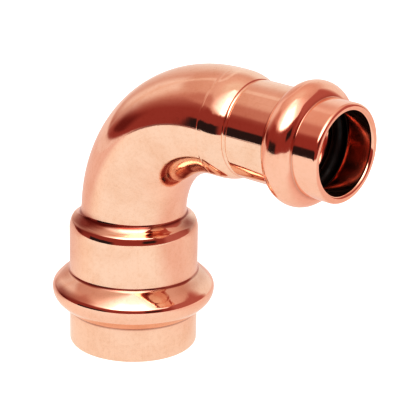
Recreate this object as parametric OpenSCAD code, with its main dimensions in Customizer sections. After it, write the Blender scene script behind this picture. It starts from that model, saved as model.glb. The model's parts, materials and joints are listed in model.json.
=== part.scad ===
// Right-angle reducing elbow for pressed copper tube: a large socket below and a small one beside it.
// The lower socket stands on the Z axis with its rim at z = 0. The upper socket points along +X.
// Sizes are in millimetres.

/* [Lower socket] */
// Outside diameter of the tube that the lower socket takes
lower_tube_d = 22; // [21:0.1:28]
// Wall of the lower socket
lower_wall = 1.3; // [1:0.05:1.8]
// Depth of the lower socket, from its rim to the start of its shoulder
lower_depth = 23.4; // [21:0.1:34]
// Distance from the lower rim to the middle of its bead
lower_bead_at = 11.3; // [9:0.1:14]
// Depth of the ring groove inside the lower bead, below the bore
lower_groove_h = 3.3; // [2:0.05:3.8]
// Section radius of the ring groove inside the lower bead
lower_groove_r = 1.8; // [1.75:0.05:2.4]
// Radius of the lower bead's nose on the side of the rim, outside
lower_rim_nose_r = 3.2; // [1.5:0.05:3.5]
// Radius of the lower bead's nose on the side of the shoulder, outside
lower_nose_r = 2; // [1.5:0.05:3.5]
// Radius of the lower bead's flanks, outside
lower_flank_r = 12; // [4:0.5:40]
// Outside fillet at the foot of the lower bead on the side of the rim
lower_rim_foot_r = 0.3; // [0.2:0.05:1.2]
// Outside fillet at the foot of the lower bead on the side of the shoulder
lower_foot_r = 1.05; // [0.2:0.05:1.2]
// Outside rounding of the lower rim
lower_rim_r = 0.9; // [0.3:0.05:1]

/* [Upper socket] */
// Outside diameter of the tube that the upper socket takes
upper_tube_d = 15; // [12:0.1:16]
// Wall of the upper socket
upper_wall = 1.5; // [1.1:0.05:1.8]
// Depth of the upper socket, from its rim to the end of its taper
upper_depth = 21.1; // [18:0.1:28]
// Distance from the upper rim to the middle of its bead
upper_bead_at = 8.4; // [7:0.1:11]
// Depth of the ring groove inside the upper bead, below the bore
upper_groove_h = 2.45; // [1.6:0.05:3]
// Section radius of the ring groove inside the upper bead
upper_groove_r = 1.85; // [1.6:0.05:2.4]
// Outside fillet at the foot of the upper bead on the side of the rim
upper_rim_foot_r = 0.25; // [0.2:0.05:1.2]
// Outside fillet at the foot of the upper bead on the side of the taper
upper_foot_r = 0.4; // [0.2:0.05:1.2]
// Outside rounding of the upper rim
upper_rim_r = 0.4; // [0.3:0.05:1]
// Length of the taper from the bent tube down to the upper socket
taper_len = 4.2; // [2.5:0.1:8]
// Length of plain tube between the bend and the taper
taper_lead = 1.8; // [0:0.1:12]

/* [Bend] */
// Outside diameter of the bent tube
bend_tube_d = 20.2; // [19.2:0.1:21.4]
// Wall of the bent tube
bend_wall = 1.4; // [1:0.05:1.8]
// Radius of the bend at the middle of the tube
bend_radius = 23; // [16:0.5:60]
// Distance from the start of the lower shoulder to the start of the bend
bend_lead = 3.3; // [2:0.1:10]

/* [Formed edges] */
// Outside rounding at the start of the lower shoulder
shoulder_r = 4.2; // [2:0.05:6]
// Tighter rounding at the top of the lower shoulder
shoulder_edge_r = 0.9; // [0.5:0.05:2.5]
// Outside hollow where the lower shoulder runs out on the bent tube
hollow_r = 2.4; // [0.4:0.05:3.5]
// Rounding inside the lower shoulder, where the tube stops
lower_stop_r = 1.5; // [0.5:0.05:2.5]
// Rounding of the inner edge of both rims
lead_in_r = 0.2; // [0.1:0.05:0.3]
// Depth of the rolled groove that stops the upper tube
upper_stop_h = 0.4; // [0.2:0.05:0.45]
// Section radius of the rolled groove that stops the upper tube
upper_stop_r = 0.5; // [0.45:0.05:1]

/* [Fits] */
// Clearance all round between a socket and its tube
socket_clearance = 0.1; // [0.05:0.01:0.2]
// Clearance between a sealing ring and the bottom of its groove
ring_clearance = 0.1; // [0.05:0.01:0.2]
// Distance that a sealing ring stands into its bore
ring_proud = 0.1; // [0.05:0.01:0.15]

/* [Hidden] */
copper = [0.87, 0.56, 0.42];
rubber = [0.07, 0.07, 0.07];
// Steps of a full turn, and along an arc of a section its widest step in degrees and its fewest steps
$fn = 96;
arc_step = 10;
arc_steps_min = 3;
// Angles that a bead's nose turns to each side of its top, and the lower shoulder's first rounding
nose_turn = 42;
shoulder_turn = 25;
// How far the shoulder runs past the bent tube's surface, so that the two cross, and a bore past its rim
weld = 0.05;
overrun = 1;
// Radii of the bores, the sockets' outsides and the bent tube
lower_bore = lower_tube_d / 2 + socket_clearance;
upper_bore = upper_tube_d / 2 + socket_clearance;
lower_out = lower_bore + lower_wall;
upper_out = upper_bore + upper_wall;
bend_out = bend_tube_d / 2;
bend_in = bend_out - bend_wall;
// The upper stop groove lies beside the end of the taper, and its ridge inside keeps the wall
stop_half = chord_half(upper_stop_r, upper_stop_h);
ridge_half = chord_half(upper_stop_r + upper_wall, upper_stop_h);
stop_at = upper_depth - stop_half;
// The start of the bend, and the upper socket's axis and rim
bend_z = lower_depth + bend_lead;
upper_leg = upper_depth + taper_len + taper_lead;
axis_z = bend_z + bend_radius;
rim_x = bend_radius + upper_leg;

// Half the chord that a circle of radius r cuts at height h
function chord_half(r, h) = sqrt(r * r - (r - h) * (r - h));

// Points on an arc about centre c, from one angle to another
function arc(c, r, from, to) =
    let (steps = max(arc_steps_min, ceil(abs(to - from) / arc_step)))
    [for (i = [0:steps])
        let (a = from + (to - from) * i / steps)
        c + r * [cos(a), sin(a)]];

// Slope from a top radius in to a base radius: nose, flank and foot, all tangent.
// Points are [radius, distance from the top].
function slope(base, top, nose_r, flank_r, foot_r, turn) =
    let (
        nose_x = top - nose_r,
        flank_x = nose_x - (flank_r - nose_r) * cos(turn),
        cross = (flank_r - nose_r) * sin(turn),
        foot_x = base + foot_r,
        reach = sqrt(pow(flank_r + foot_r, 2) - pow(foot_x - flank_x, 2)),
        lean = atan2(reach, foot_x - flank_x)
    )
    concat(
        arc([nose_x, 0], nose_r, 0, turn),
        arc([flank_x, -cross], flank_r, turn, lean),
        arc([foot_x, reach - cross], foot_r, 180 + lean, 180)
    );

// A slope laid at a distance from the rim, away from the rim or back towards it
function outwards(points, at) = [for (p = points) [p[0], at + p[1]]];
function back(points, at) = [for (i = [len(points) - 1:-1:0]) [points[i][0], at - points[i][1]]];

// Section of a bead: a slope up from the rim's side and one down on the other
function bead(base, top, at, nose_rs, flank_r, foot_rs) = concat(
    back(slope(base, top, nose_rs[0], flank_r, foot_rs[0], nose_turn), at),
    outwards(slope(base, top, nose_rs[1], flank_r, foot_rs[1], nose_turn), at)
);

// Inside of a bead: the ring groove, with a foot on each side
function groove(bore, groove_h, at, groove_r, foot_r) =
    bead(bore, bore + groove_h, at, [groove_r, groove_r], groove_r, [foot_r, foot_r]);

// Rim of a socket: the outside rounding, and the small rounding that leads the tube in
function rim_outside(out, rim_r) = arc([out - rim_r, rim_r], rim_r, -90, 0);
function rim_inside(bore) = concat(
    [[bore + lead_in_r, -overrun]],
    arc([bore + lead_in_r, lead_in_r], lead_in_r, 270, 180)
);

// Arc that starts at a small radius and runs out level on a large one
function taper(r0, r1, from, to) =
    let (
        rise = r1 - r0,
        run = to - from,
        r = (run * run + rise * rise) / (2 * rise)
    )
    arc([r1 - r, to], r, -asin(run / r), 0);

// Section of the lower socket, from its rim to the top of its shoulder
function lower_outside() =
    let (
        nose_rs = [lower_rim_nose_r, lower_nose_r],
        foot_rs = [lower_rim_foot_r, lower_foot_r],
        top = lower_out + lower_groove_h
    )
    concat(
        rim_outside(lower_out, lower_rim_r),
        bead(lower_out, top, lower_bead_at, nose_rs, lower_flank_r, foot_rs),
        outwards(
            slope(bend_out - weld, lower_out, shoulder_r, shoulder_edge_r, hollow_r, shoulder_turn),
            lower_depth
        )
    );
function lower_inside() = concat(
    rim_inside(lower_bore),
    groove(lower_bore, lower_groove_h, lower_bead_at, lower_groove_r, lower_foot_r + lower_wall),
    outwards(
        slope(bend_in - weld, lower_bore, lower_stop_r, lower_stop_r, hollow_r + lower_wall, shoulder_turn),
        lower_depth
    )
);

// Section of the upper socket, from its rim to the end of the bend
function upper_outside() =
    let (
        crown_r = upper_groove_r + upper_wall,
        foot_rs = [upper_rim_foot_r, upper_foot_r],
        top = upper_out + upper_groove_h
    )
    concat(
        rim_outside(upper_out, upper_rim_r),
        bead(upper_out, top, upper_bead_at, [crown_r, crown_r], crown_r, foot_rs),
        stop_curve(upper_stop_r, stop_half),
        taper(upper_out, bend_out, upper_depth, upper_depth + taper_len),
        [[bend_out, upper_leg]]
    );
function upper_inside() = concat(
    rim_inside(upper_bore),
    groove(upper_bore, upper_groove_h, upper_bead_at, upper_groove_r, upper_foot_r + upper_wall),
    stop_curve(upper_stop_r + upper_wall, ridge_half),
    taper(upper_bore, bend_in, stop_at + ridge_half, upper_depth + taper_len),
    [[bend_in, upper_leg]]
);

// The rolled stop, dipping towards the axis: the groove outside or the ridge inside
function stop_curve(r, half) =
    let (
        centre = [upper_out + upper_stop_r - upper_stop_h, stop_at],
        lean = asin(half / r)
    )
    arc(centre, r, 180 + lean, 180 - lean);

// A solid turned from a section that runs from the rim inwards
module turned(section) {
    rotate_extrude()
        polygon(concat([[0, section[0][1]]], section, [[0, section[len(section) - 1][1]]]));
}

// Places its children on the upper socket's axis, rim outwards
module at_upper_rim() {
    translate([rim_x, 0, axis_z])
        rotate([0, -90, 0])
            children();
}

// The quarter turn between the sockets
module bend(r) {
    translate([bend_radius, 0, bend_z])
        rotate([90, 0, 180])
            rotate_extrude(angle = 90)
                translate([bend_radius, 0])
                    circle(r = r);
}

// Sealing ring that fills a bead's groove and stands a little into the bore
module seal_ring(bore, groove_h, at) {
    section_d = groove_h + ring_proud - ring_clearance;
    translate([0, 0, at])
        rotate_extrude()
            translate([bore - ring_proud + section_d / 2, 0])
                circle(d = section_d);
}

// The copper fitting, formed from one length of tube
module elbow_body() {
    color(copper)
        difference() {
            union() {
                turned(lower_outside());
                bend(bend_out);
                at_upper_rim()
                    turned(upper_outside());
            }
            turned(lower_inside());
            bend(bend_in);
            at_upper_rim()
                turned(upper_inside());
        }
}

module lower_seal_ring() {
    color(rubber)
        seal_ring(lower_bore, lower_groove_h, lower_bead_at);
}

module upper_seal_ring() {
    color(rubber)
        at_upper_rim()
            seal_ring(upper_bore, upper_groove_h, upper_bead_at);
}

elbow_body();
lower_seal_ring();
upper_seal_ring();
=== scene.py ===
import json
import math

import bpy
import numpy as np
from bpy.props import FloatProperty, FloatVectorProperty, IntProperty, PointerProperty
from mathutils import Matrix, Vector


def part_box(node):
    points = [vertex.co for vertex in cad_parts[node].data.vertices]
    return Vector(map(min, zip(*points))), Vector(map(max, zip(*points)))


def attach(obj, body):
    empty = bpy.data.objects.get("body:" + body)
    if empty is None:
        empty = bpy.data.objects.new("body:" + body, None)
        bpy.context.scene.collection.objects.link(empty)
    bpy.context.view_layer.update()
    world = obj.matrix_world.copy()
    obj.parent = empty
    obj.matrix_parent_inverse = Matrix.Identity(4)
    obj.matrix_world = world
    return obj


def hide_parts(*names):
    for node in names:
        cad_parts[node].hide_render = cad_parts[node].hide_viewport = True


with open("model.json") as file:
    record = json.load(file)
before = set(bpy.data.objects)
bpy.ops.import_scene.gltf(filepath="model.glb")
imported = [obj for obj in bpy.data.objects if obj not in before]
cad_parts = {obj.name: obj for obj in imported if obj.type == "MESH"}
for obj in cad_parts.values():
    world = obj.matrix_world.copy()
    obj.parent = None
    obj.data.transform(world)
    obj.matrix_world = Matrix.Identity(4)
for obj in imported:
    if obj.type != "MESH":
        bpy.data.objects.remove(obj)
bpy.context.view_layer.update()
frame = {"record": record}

bl_info = {
    "name": "Reducing Press Elbow",
    "version": (1, 0, 0),
    "blender": (4, 5, 0),
    "location": "View3D > Sidebar > Press Elbow",
    "description": "Forms a copper reducing press elbow with its sealing rings and sets it on a studio floor",
    "category": "Add Mesh",
}

MM = 0.001
BODY_NODE = "elbow_body"
LOWER_RING_NODE = "lower_seal_ring"
UPPER_RING_NODE = "upper_seal_ring"
# What is stored for each point of the body
DRAWN = "drawn"
# Redder copper: painted shade inside the bore and on the bend's inner side, and a redder tone on the upper
# end and the lower bead
REDDENED = "dulled"
# Painted shade: red-brown in the creases and on the ends of the shoulder
PAINTED_SHADE = "oxide"
# The picture's side in pixels and the camera's sensor in millimetres
IMAGE_SIDE = 416
SENSOR = 36.0

MOUNTS = {mount["name"]: mount for mount in frame["record"]["mounts"]}
LOWER_BORE = MOUNTS["lower_socket"]["dims"]["r_mm"] * MM
UPPER_BORE = MOUNTS["upper_socket"]["dims"]["r_mm"] * MM
AXIS_HEIGHT = MOUNTS["upper_socket"]["pos_m"][2]
UPPER_RIM_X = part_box(BODY_NODE)[1].x

# Steps along the stretches of the sections

STRAIGHT_STEPS = 9
FACE_STEPS = 4
RIM_STEPS = 20
LEAD_IN_STEPS = 8
BEAD_STEPS = 14
LOWER_GROOVE_STEPS = 6
UPPER_GROOVE_STEPS = 8
SHOULDER_STEPS = 18
INNER_SHOULDER_STEPS = 6
STOP_STEPS = 24
INNER_STOP_STEPS = 12
TAPER_STEPS = 36
INNER_TAPER_STEPS = 12
EDGE_STEPS = 6
WITNESS_STEPS = 32
BEND_STEPS = 73
RING_STEPS = 48

# Metres within which two points are one
SAME_POINT = 1e-7
# Length of the stretch with the witness line, in half widths of the line
WITNESS_REACH = 8
# Half width of a ring's moulding line, in radians of its section
FLASH_WIDTH = 0.09
# Where the redder inside, a painted shade, starts and where it is full, in radii of the rim's inner rounding
RIM_FADE = (0.6, 1.1)


def length(name, description, default):
    """A property for a size in metres."""
    return FloatProperty(name=name, description=description, default=default, unit="LENGTH", precision=5)


def share(name, description, default):
    """A property for a number from 0 to 1."""
    return FloatProperty(
        name=name, description=description, default=default, subtype="FACTOR", min=0.0, max=1.0
    )


def number(name, description, default):
    """A property for a plain number."""
    return FloatProperty(name=name, description=description, default=default, subtype="UNSIGNED", min=0.0)


def degrees(name, description, default):
    """A property for an angle that is given in degrees."""
    return FloatProperty(name=name, description=description, default=math.radians(default), subtype="ANGLE")


def colour(name, description, default):
    """A property for a linear colour."""
    return FloatVectorProperty(
        name=name, description=description, default=default, subtype="COLOR", min=0.0, max=9.0
    )


class PressElbowSizes(bpy.types.PropertyGroup):
    """Sizes of the copper body and of its sealing rings."""

    lower_wall: length("Lower wall", "Wall of the lower socket", 1.3 * MM)
    lower_depth: length("Lower depth", "From the lower rim to the start of the shoulder", 23.4 * MM)
    lower_bead_at: length("Lower bead", "From the lower rim to the middle of its bead", 11.3 * MM)
    lower_groove_h: length("Lower groove depth", "Depth of the ring groove below the bore", 3.3 * MM)
    lower_groove_r: length("Lower groove radius", "Section radius of the ring groove", 1.8 * MM)
    lower_rim_nose_r: length("Lower rim nose", "Radius of the lower bead's nose towards the rim", 3.2 * MM)
    lower_nose_r: length("Lower nose", "Radius of the lower bead's nose towards the shoulder", 2.0 * MM)
    lower_flank_r: length("Lower flank", "Radius of the lower bead's flanks", 12.0 * MM)
    lower_rim_foot_r: length("Lower rim foot", "Fillet at the lower bead's foot beside the rim", 0.3 * MM)
    lower_foot_r: length("Lower foot", "Fillet at the lower bead's foot beside the shoulder", 1.05 * MM)
    upper_wall: length("Upper wall", "Wall of the upper socket", 1.5 * MM)
    upper_depth: length("Upper depth", "From the upper rim to the start of the taper", 21.1 * MM)
    upper_bead_at: length("Upper bead", "From the upper rim to the middle of its bead", 8.4 * MM)
    upper_groove_h: length("Upper groove depth", "Depth of the ring groove below the bore", 2.45 * MM)
    upper_groove_r: length("Upper groove radius", "Section radius of the ring groove", 1.85 * MM)
    upper_rim_foot_r: length("Upper rim foot", "Fillet at the upper bead's foot beside the rim", 0.25 * MM)
    upper_foot_r: length("Upper foot", "Fillet at the upper bead's foot beside the taper", 0.4 * MM)
    nose_turn: degrees("Nose turn", "Angle to each side of a bead's top over which its nose turns", 42.0)
    shoulder_r: length("Shoulder", "Outside rounding at the start of the lower shoulder", 4.2 * MM)
    shoulder_edge_r: length("Shoulder edge", "Tighter rounding at the top of the lower shoulder", 0.9 * MM)
    shoulder_turn: degrees("Shoulder turn", "Angle over which the shoulder's first rounding turns", 25.0)
    hollow_r: length("Hollow", "Outside hollow where the shoulder runs out on the bent tube", 2.4 * MM)
    lower_stop_r: length("Lower stop", "Rounding inside the shoulder, where the tube stops", 1.5 * MM)
    taper_len: length("Taper", "Length of the taper between the upper socket and the bend", 4.2 * MM)
    bend_out: length("Bend outside", "Outside radius of the bent tube", 10.1 * MM)
    bend_wall: length("Bend wall", "Wall of the bent tube", 1.4 * MM)
    bend_radius: length("Bend radius", "Radius of the bend at the middle of the tube", 23.0 * MM)
    lower_rim_r: length("Lower rim", "Outside rounding of the lower rim", 0.9 * MM)
    upper_rim_r: length("Upper rim", "Worn outside rounding of the upper rim", 0.65 * MM)
    lower_lead_r: length("Lower lead-in", "Worn rounding of the inner edge of the lower rim", 0.25 * MM)
    upper_lead_r: length("Upper lead-in", "Worn rounding of the inner edge of the upper rim", 0.6 * MM)
    stop_h: length("Stop depth", "Depth of the rolled groove that stops the upper tube", 0.4 * MM)
    stop_r: length("Stop radius", "Section radius of the rolled groove", 0.5 * MM)
    edge_r: length("Worked edge", "Rounding of the two edges of the rolled groove", 0.12 * MM)
    witness_h: length("Witness height", "Height of the tool's witness line beside the taper", 0.03 * MM)
    witness_w: length("Witness width", "Half width of the tool's witness line", 0.16 * MM)
    ring_proud: length("Ring proud", "How far a sealing ring stands into its bore", 0.1 * MM)
    flash_h: length("Flash height", "Height of the moulding line on a sealing ring", 0.03 * MM)
    around: IntProperty(name="Around", description="Steps round the tube", default=128, min=48, max=256)


class PressElbowLooks(bpy.types.PropertyGroup):
    """Colours and finish of the copper and the rubber."""

    copper: colour("Copper", "Clean polished copper", (0.94, 0.69, 0.56))
    tarnish: colour("Tarnish", "Copper where the air has dulled it a little", (0.88, 0.595, 0.45))
    tarnish_share: share("Tarnish share", "How far the tarnished patches go", 0.45)
    line_share: share("Line share", "How far the draw lines are tarnished", 0.25)
    speck_share: share("Speck share", "How far the fine specks are tarnished", 0.30)
    polish: share("Polish", "Roughness of the brightest copper", 0.05)
    haze: share("Haze", "Roughness that the tarnish adds", 0.10)
    # Redder copper: painted shade inside the bore and on the bend's inner side, and a redder tone on the
    # upper end and the lower bead
    dulled: colour("Dulled copper", "Redder copper where forming has dulled it", (0.94, 0.52, 0.40))
    reddened_haze: share("Dulled haze", "Roughness that the dulled copper adds", 0.08)
    # Painted shade: dark red-brown in the creases and on the ends of the shoulder
    oxide: colour("Oxide", "Red-brown oxide left in the creases", (0.34, 0.085, 0.06))
    shade_haze: share("Oxide haze", "Roughness that the oxide adds", 0.10)
    # Shares of the painted shade: one even, one that follows the tarnished patches
    even_shade: share("Even oxide", "Oxide that is the same in and between the patches", 0.7)
    patchy_shade: share("Patchy oxide", "Oxide that comes and goes with the patches", 0.6)
    draw_height: share("Draw line height", "Share of the draw lines in the copper's bump", 0.10)
    roll_height: share("Roll line height", "Share of the roll lines in the copper's bump", 0.14)
    wave_height: share("Wave height", "Share of the slow waves in the copper's bump", 0.9)
    copper_bump: share("Copper bump", "Strength of the copper's bump", 0.12)
    copper_bump_h: length("Copper bump height", "Height of the copper's bump", 0.06 * MM)
    rubber: colour("Rubber", "Moulded sealing ring", (0.010, 0.009, 0.009))
    rubber_bloom: colour("Bloom", "Pale bloom on the rubber", (0.030, 0.026, 0.025))
    rubber_haze: share("Rubber haze", "Roughness of the clean rubber", 0.32)
    bloom_haze: share("Bloom haze", "Roughness that the bloom adds", 0.25)
    film: share("Film", "Weight of the thin film of lubricant", 0.5)
    film_haze: share("Film haze", "Roughness of the film", 0.12)
    rubber_bump: share("Rubber bump", "Strength of the rubber's moulded grain", 0.25)
    rubber_bump_h: length("Rubber bump height", "Height of the rubber's moulded grain", 0.03 * MM)


class PressElbowStage(bpy.types.PropertyGroup):
    """Camera, floor and studio light."""

    azimuth: degrees("Azimuth", "Camera's turn from the front towards the upper mouth", 40.17)
    elevation: degrees("Elevation", "Camera's height above the horizon", 20.09)
    roll: degrees("Roll", "Camera's roll", 1.05)
    distance: length("Distance", "From the camera to the point that it looks at", 0.3934)
    target: FloatVectorProperty(
        name="Target",
        description="Point that the camera looks at",
        default=(0.01862, 0.0, 0.03181),
        subtype="XYZ",
        unit="LENGTH",
    )
    focal_pixels: number("Focal length", "Focal length in pixels of a square image", 2114.28)
    contrast: number("Contrast", "Power that the picture's tones are raised to", 1.6)
    white: colour("White", "Floor and backdrop where the camera sees them", (1.3, 1.3, 1.3))
    floor_reach: length("Floor reach", "Half the side of the floor", 0.32)
    floor_turn: degrees("Floor turn", "Turn of the floor's light, from X towards Y", 40.0)
    floor_glow: number("Floor glow", "Light that comes back from the floor", 0.97)
    paper: colour("Paper", "The floor's paper", (0.115, 0.113, 0.11))
    paper_pale: colour("Pale paper", "Paler patches of the floor's paper", (0.125, 0.123, 0.12))
    paper_haze: share("Paper haze", "Roughness of the floor's paper", 0.9)
    floor_front: colour("Floor front", "Light from the floor in front", (0.93, 1.0, 1.0))
    floor_middle: colour("Floor middle", "Light from the floor under the object", (0.94, 0.96, 0.93))
    floor_back: colour("Floor back", "Light from the floor behind the object", (0.82, 0.69, 0.66))
    floor_aside: colour("Floor aside", "Light from the floor to the right", (0.86, 0.75, 0.72))
    floor_edge: colour("Floor edge", "Light from the floor's far left edge", (0.25, 0.08, 0.08))
    wall_foot: colour("Wall foot", "Walls at their foot", (0.82, 0.56, 0.49))
    wall_middle: colour("Wall middle", "Walls half way up", (0.89, 0.67, 0.60))
    wall_top: colour("Wall top", "Walls under the ceiling", (0.95, 0.75, 0.67))
    ceiling: colour("Ceiling", "Overhead", (1.00, 0.90, 0.82))
    panel: colour("Panel", "Pale panel on the left", (1.02, 0.93, 0.89))
    arch: colour("Arch", "Pale arch on the far left", (1.0, 0.87, 0.81))
    screen: colour("Screen", "Darker screen on the left", (0.74, 0.44, 0.38))
    backdrop: colour("Backdrop", "White backdrop behind the object", (1.02, 1.02, 1.0))
    glow: colour("Glow", "Light round the softbox", (1.6, 1.6, 1.6))
    softbox: colour("Softbox", "Light in front on the right", (2.6, 2.55, 2.45))
    ground: colour("Ground", "Below the horizon", (0.99, 0.88, 0.85))
    band: colour("Band", "Dark band low in front", (0.47, 0.14, 0.118))
    band_right: colour("Band right", "Right-hand end of the dark band", (0.64, 0.29, 0.26))
    black: colour("Black", "Nearly black parts of the dark band", (0.08, 0.05, 0.05))
    corner: colour("Corner", "Dark corner on the left", (0.28, 0.06, 0.05))


PROPERTY_GROUPS = (PressElbowSizes, PressElbowLooks, PressElbowStage)


# Sections and surfaces


def bell(value, middle, width):
    """A bell curve about a middle: e to the power of minus the square of the distance over the width."""
    return np.exp(-(((value - middle) / width) ** 2))


def bell_round(turn, middle, width):
    """The bell curve on a circle, in degrees, with the distance taken the shorter way round."""
    return bell((turn - middle + 180) % 360, 180, width)


def whole_turn(steps):
    """Angles of even steps round a whole turn, in radians."""
    return np.linspace(0, 2 * math.pi, steps, endpoint=False)


def arc(centre, radius, start, end, steps):
    """Points on a circle from one angle to another, about a centre at (radius, distance from the rim).

    In degrees: 0 points away from the axis and 90 along the socket, away from its rim.
    """
    angles = np.radians(np.linspace(start, end, steps + 1))
    return np.stack([centre[0] + radius * np.cos(angles), centre[1] + radius * np.sin(angles)], axis=1)


def straight(start, end, steps=STRAIGHT_STEPS):
    """Points between two ends, closer together at both: the half cosine of an even step."""
    part = (1 - np.cos(np.pi * np.arange(1, steps) / steps))[:, None] / 2
    return np.asarray(start) * (1 - part) + np.asarray(end) * part


def joined(*stretches):
    """Stretches one after another, with a straight line of points between the ends of two neighbours."""
    parts = [stretches[0]]
    for stretch in stretches[1:]:
        parts += [straight(parts[-1][-1], stretch[0]), stretch]
    points = np.concatenate(parts)
    apart = np.linalg.norm(np.diff(points, axis=0), axis=1) > SAME_POINT
    return points[np.concatenate([[True], apart])]


def chord_half(radius, height):
    """Half the chord that a circle cuts at a height: the root of r squared less (r - h) squared."""
    return math.sqrt(radius**2 - (radius - height) ** 2)


def slope(base, top, nose_r, flank_r, foot_r, turn, steps):
    """Slope from a top radius in to a base radius: nose, flank and foot, each tangent to the next.

    The flank's centre lies on the line where the nose ends, flank_r - nose_r behind the nose's centre. The
    foot's centre lies flank_r + foot_r from the flank's, at the height of the base plus foot_r. Points are
    (radius, distance from the top).
    """
    nose_x = top - nose_r
    flank_x = nose_x - (flank_r - nose_r) * math.cos(turn)
    cross = (flank_r - nose_r) * math.sin(turn)
    drop = base + foot_r - flank_x
    reach = math.sqrt((flank_r + foot_r) ** 2 - drop**2)
    turned = math.degrees(turn)
    lean = math.degrees(math.atan2(reach, drop))
    return np.concatenate(
        [
            arc((nose_x, 0.0), nose_r, 0, turned, steps),
            arc((flank_x, -cross), flank_r, turned, lean, steps),
            arc((base + foot_r, reach - cross), foot_r, 180 + lean, 180, steps),
        ]
    )


def bead(base, top, at, nose_rs, flank_r, foot_rs, turn, steps):
    """A slope up from the rim's side and another down on the far side, at a distance from the rim."""
    near, far = (
        slope(base, top, nose_r, flank_r, foot_r, turn, steps) for nose_r, foot_r in zip(nose_rs, foot_rs)
    )
    return np.concatenate([near[::-1] * (1, -1), far]) + (0, at)


def groove(bore, depth, at, radius, foot_r, turn, steps):
    """Inside of a bead: a round groove with a rounded foot on each side."""
    return bead(bore, bore + depth, at, (radius, radius), radius, (foot_r, foot_r), turn, steps)


def taper(small, large, start, end, steps):
    """An arc from a small radius that runs out level on a large one.

    Its radius is the squares of the run and the rise, added, over twice the rise.
    """
    rise, run = large - small, end - start
    radius = (run**2 + rise**2) / (2 * rise)
    return arc((large - radius, end), radius, -math.degrees(math.asin(run / radius)), 0, steps)


def rim_edge(out, radius):
    """Rounding of a rim's outer edge, from its end face to the outside."""
    return arc((out - radius, radius), radius, -90, 0, RIM_STEPS)


def lead_in(bore, radius):
    """Rounding of a rim's inner edge, from its end face to the bore."""
    return arc((bore + radius, radius), radius, 270, 180, LEAD_IN_STEPS)


def rounded_corner(before, after, radius):
    """Two stretches with the corner between them replaced by an arc that is tangent to both end lines.

    The arc's centre lies on the corner's bisector, at the radius over the sine of half the corner's angle.
    """
    corner = after[0]
    back = before[-2] - corner
    ahead = after[1] - corner
    back, ahead = back / np.linalg.norm(back), ahead / np.linalg.norm(ahead)
    half_angle = math.acos(float(np.clip(back @ ahead, -1, 1))) / 2
    reach = radius / math.tan(half_angle)
    middle = (back + ahead) / np.linalg.norm(back + ahead)
    centre = corner + middle * radius / math.sin(half_angle)
    first, last = corner + back * reach - centre, corner + ahead * reach - centre
    sweep = math.pi - 2 * half_angle
    part = np.linspace(0, 1, EDGE_STEPS + 1)[:, None]
    turn = (np.sin((1 - part) * sweep) * first + np.sin(part * sweep) * last) / math.sin(sweep)
    keep_before = np.linalg.norm(before - corner, axis=1) > reach
    keep_after = np.linalg.norm(after - corner, axis=1) > reach
    return np.concatenate([before[keep_before], centre + turn, after[keep_after]])


def lower_outside(size):
    """Section of the lower socket's outside, from its rim over the bead and the shoulder to the bent tube."""
    out = LOWER_BORE + size.lower_wall
    top = out + size.lower_groove_h
    nose_rs = (size.lower_rim_nose_r, size.lower_nose_r)
    foot_rs = (size.lower_rim_foot_r, size.lower_foot_r)
    first_r, edge_r, turn = size.shoulder_r, size.shoulder_edge_r, size.shoulder_turn
    shoulder = slope(size.bend_out, out, first_r, edge_r, size.hollow_r, turn, SHOULDER_STEPS)
    return joined(
        rim_edge(out, size.lower_rim_r),
        bead(out, top, size.lower_bead_at, nose_rs, size.lower_flank_r, foot_rs, size.nose_turn, BEAD_STEPS),
        shoulder + (0, size.lower_depth),
    )


def lower_inside(size):
    """Section of the lower socket's inside, from its rim over the ring groove to the bent tube."""
    depth, at, radius = size.lower_groove_h, size.lower_bead_at, size.lower_groove_r
    foot_r = size.lower_foot_r + size.lower_wall
    bend_in = size.bend_out - size.bend_wall
    stop_r, hollow_r = size.lower_stop_r, size.hollow_r + size.lower_wall
    shoulder = slope(bend_in, LOWER_BORE, stop_r, stop_r, hollow_r, size.shoulder_turn, INNER_SHOULDER_STEPS)
    return joined(
        lead_in(LOWER_BORE, size.lower_lead_r),
        groove(LOWER_BORE, depth, at, radius, foot_r, size.nose_turn, LOWER_GROOVE_STEPS),
        shoulder + (0, size.lower_depth),
    )


def rolled_stop(size, radius, steps):
    """Arc of the rolled stop at a radius from its groove's centre, as deep as the stop is pressed in."""
    centre_x = UPPER_BORE + size.upper_wall + size.stop_r - size.stop_h
    at = size.upper_depth - chord_half(size.stop_r, size.stop_h)
    lean = math.degrees(math.asin(chord_half(radius, size.stop_h) / radius))
    return arc((centre_x, at), radius, 180 + lean, 180 - lean, steps)


def witness_line(start, size):
    """Start of the bent tube, with the low bell curve where the edge of the forming tool stood."""
    reach = WITNESS_REACH * size.witness_w
    far = start + np.linspace(0, reach, WITNESS_STEPS + 1)[1:]
    lift = size.witness_h * bell(far, start + reach / 2, size.witness_w)
    return np.stack([size.bend_out + lift, far], axis=1)


def upper_outside(size):
    """Section of the upper socket's outside, from its rim over the bead, the rolled stop and the taper."""
    out = UPPER_BORE + size.upper_wall
    top = out + size.upper_groove_h
    crown_r = size.upper_groove_r + size.upper_wall
    crown_rs = (crown_r, crown_r)
    foot_rs = (size.upper_rim_foot_r, size.upper_foot_r)
    taper_end = size.upper_depth + size.taper_len
    stop = rolled_stop(size, size.stop_r, STOP_STEPS)
    guide = joined(
        rim_edge(out, size.upper_rim_r),
        bead(out, top, size.upper_bead_at, crown_rs, crown_r, foot_rs, size.nose_turn, BEAD_STEPS),
        stop[:1],
    )
    cone = taper(out, size.bend_out, size.upper_depth, taper_end, TAPER_STEPS)
    rolled = rounded_corner(rounded_corner(guide, stop, size.edge_r), cone, size.edge_r)
    return joined(rolled, witness_line(taper_end, size))


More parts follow.
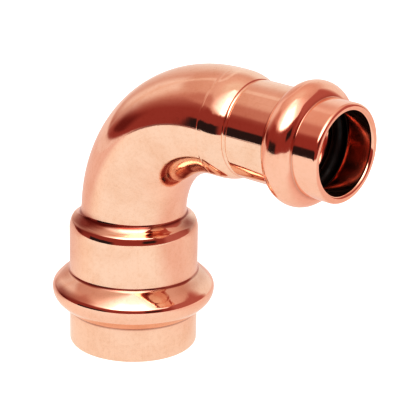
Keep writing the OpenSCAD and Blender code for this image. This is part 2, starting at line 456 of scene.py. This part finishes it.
def upper_inside(size):
    """Section of the upper socket's inside, from its rim over the ring groove, the stop and the taper."""
    depth, at, radius = size.upper_groove_h, size.upper_bead_at, size.upper_groove_r
    foot_r = size.upper_foot_r + size.upper_wall
    bend_in = size.bend_out - size.bend_wall
    taper_end = size.upper_depth + size.taper_len
    ridge = rolled_stop(size, size.stop_r + size.upper_wall, INNER_STOP_STEPS)
    return joined(
        lead_in(UPPER_BORE, size.upper_lead_r),
        groove(UPPER_BORE, depth, at, radius, foot_r, size.nose_turn, UPPER_GROOVE_STEPS),
        ridge,
        taper(UPPER_BORE, bend_in, ridge[-1, 1], taper_end, INNER_TAPER_STEPS),
    )


def middle_line(size):
    """Distances along the middle line from the lower rim to the bend's start, its end and the upper rim."""
    start = AXIS_HEIGHT - size.bend_radius
    end = start + size.bend_radius * math.pi / 2
    return start, end, end + UPPER_RIM_X - size.bend_radius


def wall_side(lower, upper, radius, size):
    """One side of the whole wall, from the lower rim to the upper one, with even steps along the bend."""
    _, bend_end, whole = middle_line(size)
    far = np.linspace(lower[-1, 1], bend_end, BEND_STEPS + 1)[1:]
    bend = np.stack([np.full_like(far, radius), far], axis=1)
    return joined(lower, bend, upper[::-1] * (1, -1) + (0, whole))


def body_section(size):
    """Closed section of the whole wall, as (radius, distance along the middle line), and each point's depth.

    It runs along the outside from the lower rim to the upper one, and back along the inside. The depth is 1
    inside, 0 outside and on the rims, and fades between them on the rims' inner edges.
    """
    whole = middle_line(size)[2]
    outside = wall_side(lower_outside(size), upper_outside(size), size.bend_out, size)
    inside = wall_side(lower_inside(size), upper_inside(size), size.bend_out - size.bend_wall, size)[::-1]
    upper_face = straight(outside[-1], inside[0], FACE_STEPS)
    lower_face = straight(inside[-1], outside[0], FACE_STEPS)
    from_rim = np.minimum(inside[:, 1] / size.lower_lead_r, (whole - inside[:, 1]) / size.upper_lead_r)
    depths = [
        np.zeros(len(outside) + len(upper_face)),
        np.interp(from_rim, RIM_FADE, (0, 1)),
        np.zeros(len(lower_face)),
    ]
    return np.concatenate([outside, upper_face, inside, lower_face]), np.concatenate(depths)


def most_of(*shares):
    """The largest of several arrays at each point of the grid."""
    return np.maximum.reduce(np.broadcast_arrays(*shares))


def painted_shade_places(section, depth, size):
    """How much painted shade each point of the grid carries: the most of some soft rings and patches, outside
    only.

    Rings lie in the beads' creases and at the shoulder. Patches lie on the shoulder and the lower bead.
    A ring is a bell curve along the tube, and a patch is the same times a bell curve round it.
    """
    far = section[:, 1, None]
    turn = np.degrees(whole_turn(size.around))
    lower_bead = size.lower_bead_at
    upper_bead = middle_line(size)[2] - size.upper_bead_at
    shoulder = lower_outside(size)[-1, 1]

    def ring(at, width, most):
        return most * bell(far, at, width)

    def patch(turned, reach, at, width, most):
        return ring(at, width, most) * bell_round(turn, turned, reach)

    # Painted shade: dark rings in the creases and at the shoulder, dark patches on the shoulder's ends and
    # the lower bead
    oxide = most_of(
        ring(at=lower_bead - 4.30 * MM, width=0.16 * MM, most=0.50),
        ring(at=lower_bead + 3.72 * MM, width=0.26 * MM, most=0.60),
        ring(at=lower_bead + 3.00 * MM, width=0.90 * MM, most=0.18),
        ring(at=shoulder - 0.95 * MM, width=0.40 * MM, most=0.95),
        ring(at=upper_bead + 3.28 * MM, width=0.16 * MM, most=0.50),
        ring(at=upper_bead - 3.48 * MM, width=0.14 * MM, most=0.60),
        patch(turned=252, reach=26, at=shoulder - 1.6 * MM, width=1.1 * MM, most=1.15),
        patch(turned=20, reach=16, at=shoulder - 2.0 * MM, width=1.1 * MM, most=0.80),
        patch(turned=130, reach=30, at=shoulder - 2.0 * MM, width=1.1 * MM, most=0.50),
        patch(turned=250, reach=18, at=lower_bead + 1.3 * MM, width=0.7 * MM, most=0.85),
    )
    return np.minimum(oxide, 1) * (1 - depth[:, None])


def reddened_places(section, depth, size):
    """How far each point of the grid takes the redder copper: the most of four shares.

    They are all of the inside and the inner side of the bend, where it is painted shade, and the upper end
    and the lower bead.
    """
    far = section[:, 1, None]
    turn = np.degrees(whole_turn(size.around))
    bend_start, bend_end, whole = middle_line(size)
    bend_share, inner_turn, turn_reach, bend_reach = 0.4, 0, 45, 10.0 * MM
    upper_share, upper_start, upper_fade = 0.4, whole - size.upper_bead_at - 3.75 * MM, 0.5 * MM
    bead_share, bead_at, bead_reach = 0.25, size.lower_bead_at - 1.5 * MM, 3.0 * MM
    # Inside the bore and on the bend's inner side the redder copper is painted shade
    bend = bell_round(turn, inner_turn, turn_reach) * bell(far, (bend_start + bend_end) / 2, bend_reach)
    return most_of(
        depth[:, None],
        bend_share * bend,
        upper_share * np.clip((far - upper_start) / upper_fade, 0, 1),
        bead_share * bell(far, bead_at, bead_reach),
    )


def along_elbow(distance, size):
    """Points and normals of the elbow's middle line: straight up, a quarter turn, straight out.

    In the turn a point lies at the bend's centre less the radius times (cos t, -sin t), where t is the turned
    angle. Before and after it, the point runs on along the tangent. The normal points to the bend's centre.
    """
    bend_start, bend_end, _ = middle_line(size)
    turned = np.clip((distance - bend_start) / size.bend_radius, 0, math.pi / 2)
    zero = np.zeros_like(turned)
    tangent = np.stack([np.sin(turned), zero, np.cos(turned)], axis=-1)
    normal = np.stack([np.cos(turned), zero, -np.sin(turned)], axis=-1)
    past = np.minimum(distance - bend_start, 0) + np.maximum(distance - bend_end, 0)
    middle = np.array([size.bend_radius, 0, bend_start]) - size.bend_radius * normal
    return middle + past[..., None] * tangent, normal


def carried_along(section, size):
    """Grid of points: the section turned about the middle line.

    A point is the middle line's at the section's distance, plus the section's radius times (the normal times
    cos a, plus Y times sin a), where a is the angle round the line.
    """
    middle, normal = along_elbow(section[:, 1], size)
    turn = whole_turn(size.around)
    sideways = np.array([0.0, 1.0, 0.0])
    outwards = np.cos(turn)[:, None] * normal[:, None, :] + np.sin(turn)[:, None] * sideways
    return middle[:, None, :] + section[:, 0, None, None] * outwards


def drawn_places(section, size):
    """The same grid on the straight tube before bending: (radius cos a, radius sin a, distance along)."""
    turn = whole_turn(size.around)
    radius = section[:, 0, None]
    far = np.broadcast_to(section[:, 1, None], (len(section), size.around))
    return np.stack([radius * np.cos(turn), radius * np.sin(turn), far], axis=-1)


def ring_grid(radius, section_r, flash_h, around):
    """Grid of a torus about Z: a section turned at a radius.

    The section is a circle whose radius grows by a low bell curve, the moulding line, towards the bore.
    """
    angle = whole_turn(RING_STEPS)
    section = section_r + flash_h * bell(angle, math.pi, FLASH_WIDTH)
    turn = whole_turn(around)
    reach = (radius + section * np.cos(angle))[:, None]
    height = np.broadcast_to((section * np.sin(angle))[:, None], (RING_STEPS, around))
    return np.stack([reach * np.cos(turn), reach * np.sin(turn), height], axis=-1)


def closed_grid_mesh(name, grid):
    """Mesh of a grid that closes on itself both ways, with quads between neighbours and smooth shading."""
    rows, columns = grid.shape[:2]
    index = np.arange(rows * columns).reshape(rows, columns)
    right = np.roll(index, -1, axis=1)
    quads = np.stack([index, right, np.roll(right, -1, axis=0), np.roll(index, -1, axis=0)], axis=-1)
    mesh = bpy.data.meshes.new(name)
    mesh.from_pydata(grid.reshape(-1, 3), [], quads.reshape(-1, 4))
    mesh.shade_smooth()
    mesh.update()
    return mesh


def add_attribute(mesh, name, kind, field, values):
    """Stores one value or vector for each point of a mesh."""
    attribute = mesh.attributes.new(name, kind, "POINT")
    attribute.data.foreach_set(field, np.asarray(values, dtype=np.float32).ravel())


def add_piece(name, mesh, material, node):
    """Puts a mesh into the scene as a piece that stands for a node of the frame."""
    piece = bpy.data.objects.new(name, mesh)
    bpy.context.scene.collection.objects.link(piece)
    mesh.materials.append(material)
    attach(piece, "root")
    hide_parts(node)


# Shader maths


class Socket:
    """A value on a node's socket. Python's operators on it add Math nodes to the tree."""

    def __init__(self, nodes, socket):
        self.nodes = nodes
        self.socket = socket

    def __add__(self, other):
        return self.nodes.math("ADD", self, other)

    def __radd__(self, other):
        return self.nodes.math("ADD", other, self)

    def __sub__(self, other):
        return self.nodes.math("SUBTRACT", self, other)

    def __rsub__(self, other):
        return self.nodes.math("SUBTRACT", other, self)

    def __mul__(self, other):
        return self.nodes.math("MULTIPLY", self, other)

    def __rmul__(self, other):
        return self.nodes.math("MULTIPLY", other, self)

    def __truediv__(self, other):
        return self.nodes.math("DIVIDE", self, other)

    def __rtruediv__(self, other):
        return self.nodes.math("DIVIDE", other, self)

    def __pow__(self, other):
        return self.nodes.math("POWER", self, other)

    def __neg__(self):
        return self.nodes.math("MULTIPLY", self, -1.0)


class Nodes:
    """The node tree of a material or of the world."""

    def __init__(self, owner):
        owner.use_nodes = True
        self.tree = owner.node_tree
        self.tree.nodes.clear()

    def add(self, kind, settings, inputs, output=0):
        """Adds a node with its settings and the values or links of its inputs, by name or by place."""
        node = self.tree.nodes.new(kind)
        for name, value in settings.items():
            setattr(node, name, value)
        for key, value in inputs.items():
            if isinstance(value, Socket):
                self.tree.links.new(value.socket, node.inputs[key])
            else:
                node.inputs[key].default_value = value
        return Socket(self, node.outputs[output]) if node.outputs else None

    def math(self, operation, *values):
        """A Math node on one or two values."""
        return self.add("ShaderNodeMath", {"operation": operation}, dict(enumerate(values)))

    def coordinates(self, kind):
        """A place or direction, in one kind of coordinates."""
        return self.add("ShaderNodeTexCoord", {}, {}, kind)

    def attribute(self, name, kind):
        """What is stored on the mesh under a name."""
        return self.add("ShaderNodeAttribute", {"attribute_name": name}, {}, kind)

    def between(self, value, low, high, start, end):
        """A smooth step of a value from one level to another."""
        ease = {"interpolation_type": "SMOOTHSTEP"}
        ends = {"From Min": low, "From Max": high, "To Min": start, "To Max": end}
        return self.add("ShaderNodeMapRange", ease, {"Value": value, **ends})

    def rise(self, value, low, high):
        """A smooth step of a value from 0 to 1."""
        return self.between(value, low, high, 0.0, 1.0)

    def fall(self, value, low, high):
        """A smooth step of a value from 1 to 0."""
        return self.between(value, low, high, 1.0, 0.0)

    def window(self, value, low, high, last, end):
        """A smooth rise of a value from 0 to 1 and back to 0 again."""
        return self.rise(value, low, high) * self.fall(value, last, end)

    def mix(self, factor, first, second):
        """A colour between two colours. A Mix node has its colours at places 6 and 7, and the result at 2."""
        first, second = (value if isinstance(value, Socket) else (*value, 1.0) for value in (first, second))
        return self.add("ShaderNodeMix", {"data_type": "RGBA"}, {0: factor, 6: first, 7: second}, 2)

    def ramp(self, value, stops):
        """A colour from a ramp with (place, colour) stops."""
        result = self.add("ShaderNodeValToRGB", {}, {0: value})
        elements = result.socket.node.color_ramp.elements
        while len(elements) < len(stops):
            elements.new(1.0)
        for element, (place, tint) in zip(elements, stops):
            element.position = place
            element.color = (*tint, 1.0)
        return result

    def noise(self, place, scale, detail, roughness, stretch=None):
        """Noise at a place, which may be stretched first."""
        if stretch is not None:
            place = self.add("ShaderNodeMapping", {}, {"Vector": place, "Scale": stretch})
        pattern = {"Vector": place, "Scale": scale, "Detail": detail, "Roughness": roughness}
        return self.add("ShaderNodeTexNoise", {}, pattern)

    def bump(self, strength, distance, height):
        """A normal that is tilted by a height."""
        return self.add("ShaderNodeBump", {}, {"Strength": strength, "Distance": distance, "Height": height})

    def camera_sees(self):
        """1 where the camera sees the place itself, and 0 in reflections and for light."""
        return self.add("ShaderNodeLightPath", {}, {}, "Is Camera Ray")

    def surface(self, inputs):
        """Ends a material's tree with a Principled shader."""
        shader = self.add("ShaderNodeBsdfPrincipled", {}, inputs)
        self.add("ShaderNodeOutputMaterial", {}, {"Surface": shader})


def copper_material(looks):
    """Bright drawn copper: faint tarnished patches, draw lines along the tube and roll lines round it.

    Redder copper is painted shade inside and on the bend's inner side, and also lies on the upper end and the
    lower bead. Red-brown painted shade lies in the creases and on the shoulder's ends. Both are stored on the
    mesh.
    """
    material = bpy.data.materials.new("bright_copper")
    nodes = Nodes(material)
    drawn = nodes.attribute(DRAWN, "Vector")
    patches = nodes.noise(drawn, scale=190.0, detail=4.0, roughness=0.55)
    draw_lines = nodes.noise(drawn, scale=1.0, detail=3.0, roughness=0.6, stretch=(2300.0, 2300.0, 90.0))
    roll_lines = nodes.noise(drawn, scale=1.0, detail=2.0, roughness=0.6, stretch=(30.0, 30.0, 5200.0))
    specks = nodes.noise(drawn, scale=1300.0, detail=3.0, roughness=0.6)
    waves = nodes.noise(drawn, scale=320.0, detail=2.0, roughness=0.5)
    tarnish = nodes.rise(patches, low=0.42, high=0.70) * looks.tarnish_share
    tarnish = tarnish + nodes.rise(draw_lines, low=0.5, high=0.8) * looks.line_share
    tarnish = tarnish + nodes.rise(specks, low=0.45, high=0.70) * looks.speck_share
    # Redder copper: painted shade inside the bore and on the bend's inner side
    dulled = nodes.attribute(REDDENED, "Fac")
    # Painted shade in the creases and on the shoulder's ends, darker where the patches are
    oxide = nodes.attribute(PAINTED_SHADE, "Fac") * (looks.even_shade + looks.patchy_shade * patches)
    outer = nodes.mix(oxide, nodes.mix(tarnish, looks.copper, looks.tarnish), looks.oxide)
    roughness = looks.polish + looks.haze * tarnish + looks.reddened_haze * dulled + looks.shade_haze * oxide
    height = draw_lines * looks.draw_height + roll_lines * looks.roll_height + waves * looks.wave_height
    nodes.surface(
        {
            "Base Color": nodes.mix(dulled, outer, looks.dulled),
            "Metallic": 1.0,
            "Roughness": roughness,
            "Normal": nodes.bump(looks.copper_bump, looks.copper_bump_h, height),
        }
    )
    return material


def rubber_material(looks):
    """Black moulded rubber: a faint bloom, a fine moulded grain and a thin film of lubricant."""
    material = bpy.data.materials.new("seal_rubber")
    nodes = Nodes(material)
    place = nodes.coordinates("Object")
    bloom = nodes.noise(place, scale=420.0, detail=4.0, roughness=0.6)
    grain = nodes.noise(place, scale=5200.0, detail=2.0, roughness=0.5)
    film = nodes.rise(nodes.noise(place, scale=260.0, detail=2.0, roughness=0.5), low=0.45, high=0.62)
    nodes.surface(
        {
            "Base Color": nodes.mix(nodes.rise(bloom, low=0.45, high=0.75), looks.rubber, looks.rubber_bloom),
            "Roughness": looks.rubber_haze + looks.bloom_haze * bloom,
            "Coat Weight": looks.film * film,
            "Coat Roughness": looks.film_haze,
            "Normal": nodes.bump(looks.rubber_bump, looks.rubber_bump_h, grain),
        }
    )
    return material


def floor_material(stage):
    """Pale floor: most of its light is even, and the rest takes the soft shadow.

    Across runs to the right of the picture and front towards the camera, both in metres from the lower rim.
    """
    material = bpy.data.materials.new("pale_floor")
    nodes = Nodes(material)
    place = nodes.coordinates("Object")
    rightwards = Vector((math.cos(stage.floor_turn), math.sin(stage.floor_turn), 0.0))
    forwards = Vector((rightwards.y, -rightwards.x, 0.0))
    across, front = (
        nodes.add("ShaderNodeVectorMath", {"operation": "DOT_PRODUCT"}, {0: place, 1: axis}, "Value")
        for axis in (rightwards, forwards)
    )
    aside_lean = 0.5
    aside = nodes.rise(across - aside_lean * front, low=0.005, high=0.05)
    aside = aside * nodes.window(front, low=-0.05, high=0.01, last=0.07, end=0.10)
    edge = nodes.fall(across - front, low=-0.385, high=-0.355) * nodes.fall(front, low=0.085, high=0.12)
    lit = nodes.mix(nodes.rise(front, low=0.0, high=0.04), stage.floor_middle, stage.floor_front)
    lit = nodes.mix(nodes.fall(front, low=-0.05, high=0.01), lit, stage.floor_back)
    lit = nodes.mix(aside, lit, stage.floor_aside)
    lit = nodes.mix(edge, lit, stage.floor_edge)
    fibres = nodes.rise(nodes.noise(place, scale=60.0, detail=3.0, roughness=0.5), low=0.3, high=0.7)
    nodes.surface(
        {
            "Base Color": nodes.mix(fibres, stage.paper, stage.paper_pale),
            "Roughness": stage.paper_haze,
            "Emission Color": nodes.mix(nodes.camera_sees(), lit, stage.white),
            "Emission Strength": stage.floor_glow,
        }
    )
    return material


class Studio(Nodes):
    """Studio round the object, by direction: features that are laid one over another.

    Up is the height above the horizon, and side the turn from the front, positive towards X, in degrees.
    """

    def __init__(self, world, stage):
        super().__init__(world)
        self.stage = stage
        direction = self.coordinates("Generated")
        x, y, z = (self.add("ShaderNodeSeparateXYZ", {}, {0: direction}, axis) for axis in "XYZ")
        self.up = self.math("ARCSINE", z) * math.degrees(1)
        self.side = self.math("ARCTAN2", x, -y) * math.degrees(1)
        self.ragged = self.noise(direction, scale=9.0, detail=3.0, roughness=0.6)
        self.light = None

    def lay(self, tint, part):
        """Lays a colour over the part of the studio where a value is 1."""
        self.light = self.mix(part, self.light, tint)

    def lay_panel(self, tint, across, height):
        """Lays a panel with soft edges: across and up it starts, is full, starts to fade and ends."""
        self.lay(tint, self.window(self.side, *across) * self.window(self.up, *height))

    def walls(self):
        """Warm walls, paler with height, with a panel, an arch and a screen on the left, and the backdrop."""
        stage, side, up = self.stage, self.side, self.up
        ragged_height = 6.0
        span = {"From Min": 20.0, "From Max": 90.0}
        height = self.add("ShaderNodeMapRange", {}, {"Value": up + ragged_height * self.ragged, **span})
        places = (0.20, 0.42, 0.65, 0.85)
        tints = (stage.wall_foot, stage.wall_middle, stage.wall_top, stage.ceiling)
        self.light = self.ramp(height, tuple(zip(places, tints)))
        self.lay_panel(stage.panel, across=(-112.0, -98.0, -84.0, -64.0), height=(0.0, 8.0, 34.0, 42.0))
        arch_side, arch_half, arch_up, arch_rise = -117.0, 27.0, 12.0, 40.0
        arch = (((side - arch_side) / arch_half) ** 2 + ((up - arch_up) / arch_rise) ** 2) ** 0.5
        self.lay(stage.arch, self.window(arch, low=0.86, high=0.96, last=1.04, end=1.14))
        self.lay_panel(stage.screen, across=(-70.0, -56.0, -40.0, -20.0), height=(18.0, 26.0, 44.0, 54.0))
        backdrop = self.fall(side, low=-155.0, high=-88.0) + self.rise(side, low=150.0, high=168.0)
        self.lay(stage.backdrop, backdrop * self.fall(up, low=24.0, high=50.0))

    def lights(self):
        """The softbox in front on the right, and the glow round it."""
        stage, side, up = self.stage, self.side, self.up
        lean = 0.25
        glow = self.rise(side, low=-50.0, high=10.0) * self.fall(side, low=60.0, high=130.0)
        self.lay(stage.glow, glow * self.rise(up + lean * side, low=26.0, high=38.0))
        self.lay_panel(stage.softbox, across=(-2.0, 14.0, 62.0, 80.0), height=(28.0, 34.0, 60.0, 72.0))

    def shades(self):
        """The ground, the dark band low in front with its black parts, and the dark corner on the left."""
        stage, side, up = self.stage, self.side, self.up
        self.lay(stage.ground, self.fall(up, low=-2.0, high=1.0))
        end_lean, foot_lean = 1.5, 8.0
        band_ragged, right_lift, left_lift, black_ragged = 7.0, 12.0, 4.0, 6.0
        right = self.rise(side, low=92.0, high=106.0)
        left = self.fall(side, low=-30.0, high=-12.0)
        below = up - band_ragged * self.ragged - right_lift * right - left_lift * left
        band = self.rise(side - end_lean * up, low=-119.0, high=-72.0)
        band = band * self.fall(side, low=150.0, high=166.0)
        band = band * self.fall(below, low=22.0, high=28.0)
        band = band * self.rise(side + foot_lean * up, low=-106.0, high=-93.0)
        self.lay(self.mix(right, stage.band, stage.band_right), band)
        black = self.window(side, low=-41.5, high=-39.0, last=-2.0, end=12.0)
        self.lay(stage.black, black * self.fall(up - black_ragged * self.ragged, low=3.0, high=7.0))
        self.lay_panel(stage.black, across=(55.0, 62.0, 78.0, 86.0), height=(4.0, 8.0, 16.0, 20.0))
        corner = self.window(side, low=-86.0, high=-74.0, last=-66.0, end=-56.0)
        corner = corner * self.fall(up, low=3.0, high=12.0)
        self.lay(stage.corner, corner * self.rise(side + foot_lean * up, low=-84.0, high=-70.0))

    def show(self):
        """Ends the tree: white where the camera sees it, and the studio elsewhere."""
        shown = self.mix(self.camera_sees(), self.light, self.stage.white)
        background = self.add("ShaderNodeBackground", {}, {"Color": shown})
        self.add("ShaderNodeOutputWorld", {}, {"Surface": background})


# Operators


class PRESS_ELBOW_OT_body(bpy.types.Operator):
    """Form the copper body: the section of its wall carried along the bent middle line"""

    bl_idname = "press_elbow.form_body"
    bl_label = "Form Body"

    def execute(self, context):
        sizes = context.scene.press_elbow_sizes
        section, depth = body_section(sizes)
        mesh = closed_grid_mesh("formed_body", carried_along(section, sizes))
        add_attribute(mesh, DRAWN, "FLOAT_VECTOR", "vector", drawn_places(section, sizes))
        # Redder copper, painted shade inside the bore and on the bend's inner side, stored on the mesh
        add_attribute(mesh, REDDENED, "FLOAT", "value", reddened_places(section, depth, sizes))
        # Painted shade in the creases and on the shoulder's ends, stored on the mesh
        add_attribute(mesh, PAINTED_SHADE, "FLOAT", "value", painted_shade_places(section, depth, sizes))
        add_piece("formed_body", mesh, copper_material(context.scene.press_elbow_looks), BODY_NODE)
        return {"FINISHED"}


class PRESS_ELBOW_OT_rings(bpy.types.Operator):
    """Lay a sealing ring in the groove of each bead"""

    bl_idname = "press_elbow.lay_rings"
    bl_label = "Lay Sealing Rings"

    def execute(self, context):
        sizes = context.scene.press_elbow_sizes
        material = rubber_material(context.scene.press_elbow_looks)
        for name, node, bore, section_d in (
            ("lower_o_ring", LOWER_RING_NODE, LOWER_BORE, sizes.lower_groove_h),
            ("upper_o_ring", UPPER_RING_NODE, UPPER_BORE, sizes.upper_groove_h),
        ):
            radius = bore - sizes.ring_proud + section_d / 2
            grid = ring_grid(radius, section_d / 2, sizes.flash_h, sizes.around)
            low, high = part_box(node)
            # A ring that is thin along X lies about X: its grid is turned a quarter turn about Y
            if high.x - low.x < high.z - low.z:
                grid = grid[..., [2, 1, 0]] * (-1, 1, 1)
            mesh = closed_grid_mesh(name, grid + np.array((low + high) / 2))
            add_piece(name, mesh, material, node)
        return {"FINISHED"}


class PRESS_ELBOW_OT_stage(bpy.types.Operator):
    """Set the camera, the pale floor and the studio light"""

    bl_idname = "press_elbow.set_stage"
    bl_label = "Set Stage"

    def execute(self, context):
        stage = context.scene.press_elbow_stage
        self.set_camera(context.scene, stage)
        self.lay_floor(context.scene, stage)
        self.light_studio(context.scene, stage)
        context.scene.view_settings.view_transform = "Standard"
        context.scene.view_settings.gamma = 1.0 / stage.contrast
        return {"FINISHED"}

    @staticmethod
    def set_camera(scene, stage):
        """Looks at the target from a turn, a height and a distance, rolled about the line of sight."""
        turn, height = stage.azimuth, stage.elevation
        level = math.cos(height)
        back = Vector((math.sin(turn) * level, -math.cos(turn) * level, math.sin(height)))
        right = Vector((math.cos(turn), math.sin(turn), 0.0))
        upwards = back.cross(right)
        tilt = Matrix((right, upwards, back)).transposed() @ Matrix.Rotation(stage.roll, 3, "Z")
        data = bpy.data.cameras.new("camera")
        data.sensor_width = SENSOR
        data.lens = stage.focal_pixels * SENSOR / IMAGE_SIDE
        camera = bpy.data.objects.new("camera", data)
        camera.matrix_world = Matrix.Translation(Vector(stage.target) + back * stage.distance) @ tilt.to_4x4()
        scene.collection.objects.link(camera)
        scene.camera = camera

    @staticmethod
    def lay_floor(scene, stage):
        """A flat square that the lower rim stands on."""
        reach = stage.floor_reach
        corners = [(-reach, -reach, 0.0), (reach, -reach, 0.0), (reach, reach, 0.0), (-reach, reach, 0.0)]
        mesh = bpy.data.meshes.new("floor")
        mesh.from_pydata(corners, [], [(0, 1, 2, 3)])
        mesh.materials.append(floor_material(stage))
        floor = bpy.data.objects.new("floor", mesh)
        scene.collection.objects.link(floor)

    @staticmethod
    def light_studio(scene, stage):
        """Makes the studio the scene's world: its walls, then the lights, then the dark parts."""
        scene.world = bpy.data.worlds.new("studio")
        studio = Studio(scene.world, stage)
        studio.walls()
        studio.lights()
        studio.shades()
        studio.show()


OPERATORS = (PRESS_ELBOW_OT_body, PRESS_ELBOW_OT_rings, PRESS_ELBOW_OT_stage)


class PRESS_ELBOW_PT_panel(bpy.types.Panel):
    """Sizes, looks and steps of the press elbow"""

    bl_idname = "PRESS_ELBOW_PT_panel"
    bl_label = "Reducing Press Elbow"
    bl_space_type = "VIEW_3D"
    bl_region_type = "UI"
    bl_category = "Press Elbow"

    def draw(self, context):
        scene = context.scene
        for group in (scene.press_elbow_sizes, scene.press_elbow_looks, scene.press_elbow_stage):
            box = self.layout.box()
            for name in group.__annotations__:
                box.prop(group, name)
        for operator in OPERATORS:
            self.layout.operator(operator.bl_idname)


CLASSES = (*PROPERTY_GROUPS, *OPERATORS, PRESS_ELBOW_PT_panel)


def register():
    """Registers the classes and gives every scene its properties."""
    for each in CLASSES:
        bpy.utils.register_class(each)
    bpy.types.Scene.press_elbow_sizes = PointerProperty(type=PressElbowSizes)
    bpy.types.Scene.press_elbow_looks = PointerProperty(type=PressElbowLooks)
    bpy.types.Scene.press_elbow_stage = PointerProperty(type=PressElbowStage)


def unregister():
    """Takes the properties and the classes away again."""
    del bpy.types.Scene.press_elbow_stage
    del bpy.types.Scene.press_elbow_looks
    del bpy.types.Scene.press_elbow_sizes
    for each in reversed(CLASSES):
        bpy.utils.unregister_class(each)


def main():
    """Builds the pieces and the stage."""
    register()
    bpy.ops.press_elbow.form_body()
    bpy.ops.press_elbow.lay_rings()
    bpy.ops.press_elbow.set_stage()


if __name__ == "__main__":
    main()
